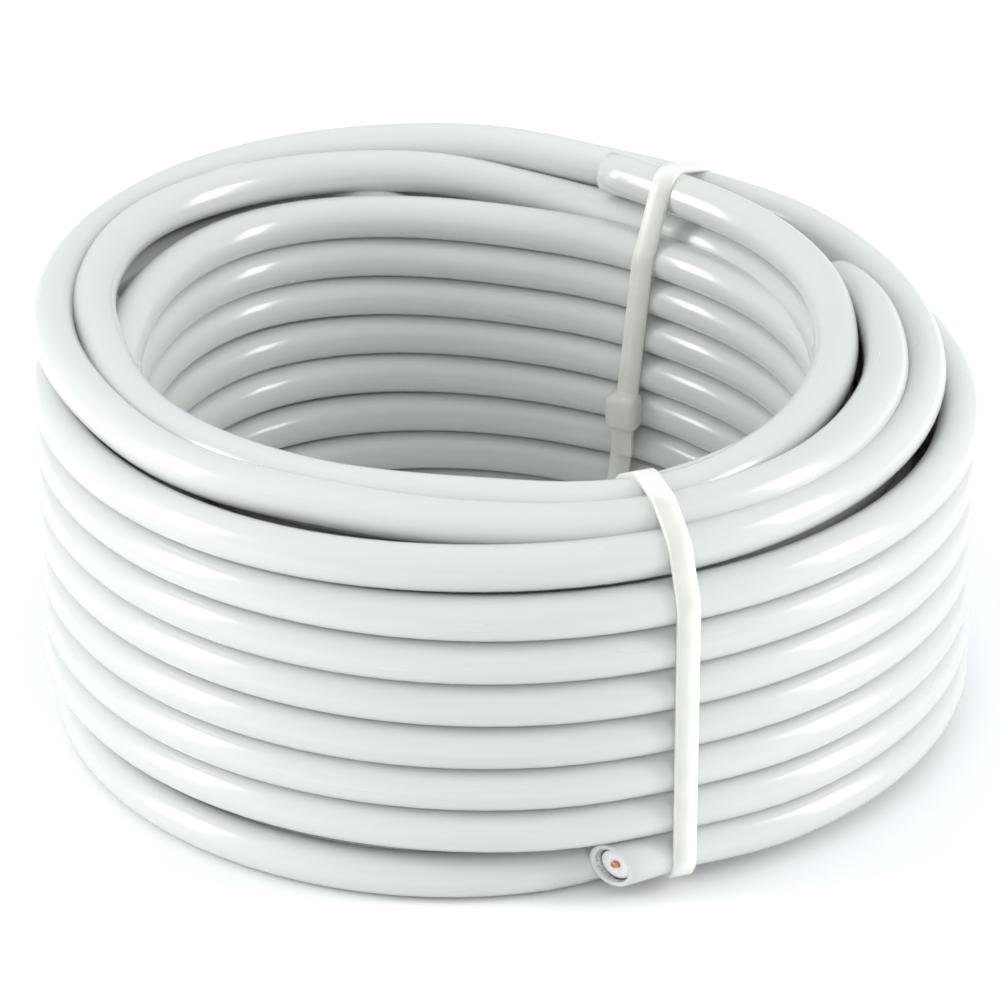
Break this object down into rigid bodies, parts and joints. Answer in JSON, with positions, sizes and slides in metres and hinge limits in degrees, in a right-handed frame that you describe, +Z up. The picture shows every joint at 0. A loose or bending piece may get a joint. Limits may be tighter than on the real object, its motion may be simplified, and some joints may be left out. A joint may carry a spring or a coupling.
{
  "type": "coaxial cable coil",
  "caption": "Round coil of white coaxial cable, held by cable ties, with an open bore and both cable ends cut square. It rests flat with its axis upright.",
  "frame": {"origin": "under the middle of the coil, on the surface it rests on", "axes": "+Z is up, along the coil's axis; -Y is the side that the lower cable end faces; +X is to the right of it"},
  "size_m": [0.144, 0.144, 0.0626],
  "materials": {
    "jacket": "glossy cool white PVC",
    "shield": "matt foil and fine braid",
    "dielectric": "foamed white polyethylene",
    "conductor": "bare copper, cut bright",
    "tie": "natural nylon, slightly see-through"
  },
  "bodies": {
    "root": {"cable_coil": "jacket", "shield": "shield", "dielectric": "dielectric", "conductor": "conductor", "tie_front": "tie", "tie_back": "tie"}
  },
  "joints": []
}
